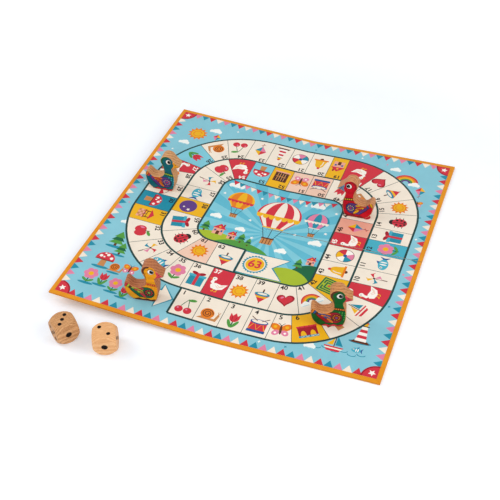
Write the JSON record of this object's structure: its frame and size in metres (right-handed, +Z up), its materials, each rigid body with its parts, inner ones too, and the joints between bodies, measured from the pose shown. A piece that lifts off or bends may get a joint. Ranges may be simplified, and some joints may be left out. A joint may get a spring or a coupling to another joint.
{
  "type": "game of the goose board",
  "caption": "Folding board for the game of the goose: hinged printed panels with a spiral track, wooden goose pawns that lift off their squares, and wooden dice lying beside it.",
  "frame": {"origin": "on the table, under the middle of the whole set's footprint", "axes": "+Z up from the table, +Y from the dice across the board, +X to the right along the board's front edge"},
  "size_m": [0.4196, 0.4842, 0.0739],
  "materials": {
    "greyboard": "matte",
    "orange_backing": "satin",
    "printed_sheet": "satin",
    "yellow_goose": "satin",
    "teal_goose": "satin",
    "red_goose": "satin",
    "green_goose": "satin",
    "brown_die": "satin",
    "pale_die": "satin"
  },
  "bodies": {
    "front_left_panel": {"front_left_core": "greyboard", "front_left_backing": "orange_backing", "front_left_printed_sheet": "printed_sheet"},
    "front_right_panel": {"front_right_core": "greyboard", "front_right_backing": "orange_backing", "front_right_printed_sheet": "printed_sheet"},
    "back_left_panel": {"back_left_core": "greyboard", "back_left_backing": "orange_backing", "back_left_printed_sheet": "printed_sheet"},
    "back_right_panel": {"back_right_core": "greyboard", "back_right_backing": "orange_backing", "back_right_printed_sheet": "printed_sheet"},
    "yellow_pawn": {"yellow_goose": "yellow_goose"},
    "teal_pawn": {"teal_goose": "teal_goose"},
    "red_pawn": {"red_goose": "red_goose"},
    "green_pawn": {"green_goose": "green_goose"},
    "left_die_body": {"left_die": "brown_die"},
    "right_die_body": {"right_die": "pale_die"}
  },
  "joints": [
    {"name": "front_fold", "type": "hinge", "parent": "front_left_panel", "child": "front_right_panel", "pos_m": [-0.00018, -0.07288, 0.0027], "axis": [0, -1, 0], "range_deg": [-4.2, 110.8]},
    {"name": "back_fold", "type": "hinge", "parent": "back_left_panel", "child": "back_right_panel", "pos_m": [-0.00018, 0.13712, 0.0027], "axis": [0, -1, 0], "range_deg": [-4.2, 110.8]},
    {"name": "side_fold", "type": "hinge", "parent": "front_left_panel", "child": "back_left_panel", "pos_m": [-0.00039, 0.03212, -0.00014], "axis": [-0.9973, 0, 0.0732], "range_deg": [0, 180]},
    {"name": "yellow_goose_lift", "type": "slide", "parent": "front_left_panel", "child": "yellow_pawn", "axis": [0.0732, 0, 0.9973], "range_m": [0, 0.06]},
    {"name": "teal_goose_lift", "type": "slide", "parent": "back_left_panel", "child": "teal_pawn", "axis": [0.0732, 0, 0.9973], "range_m": [0, 0.06]},
    {"name": "red_goose_lift", "type": "slide", "parent": "back_right_panel", "child": "red_pawn", "axis": [0, 0, 1], "range_m": [0, 0.06]},
    {"name": "green_goose_lift", "type": "slide", "parent": "front_right_panel", "child": "green_pawn", "axis": [0, 0, 1], "range_m": [0, 0.06]},
    {"name": "left_die_lift", "type": "slide", "parent": "front_left_panel", "child": "left_die_body", "axis": [0, 0, 1], "range_m": [0, 0.06]},
    {"name": "right_die_lift", "type": "slide", "parent": "front_left_panel", "child": "right_die_body", "axis": [0, 0, 1], "range_m": [0, 0.06]}
  ]
}
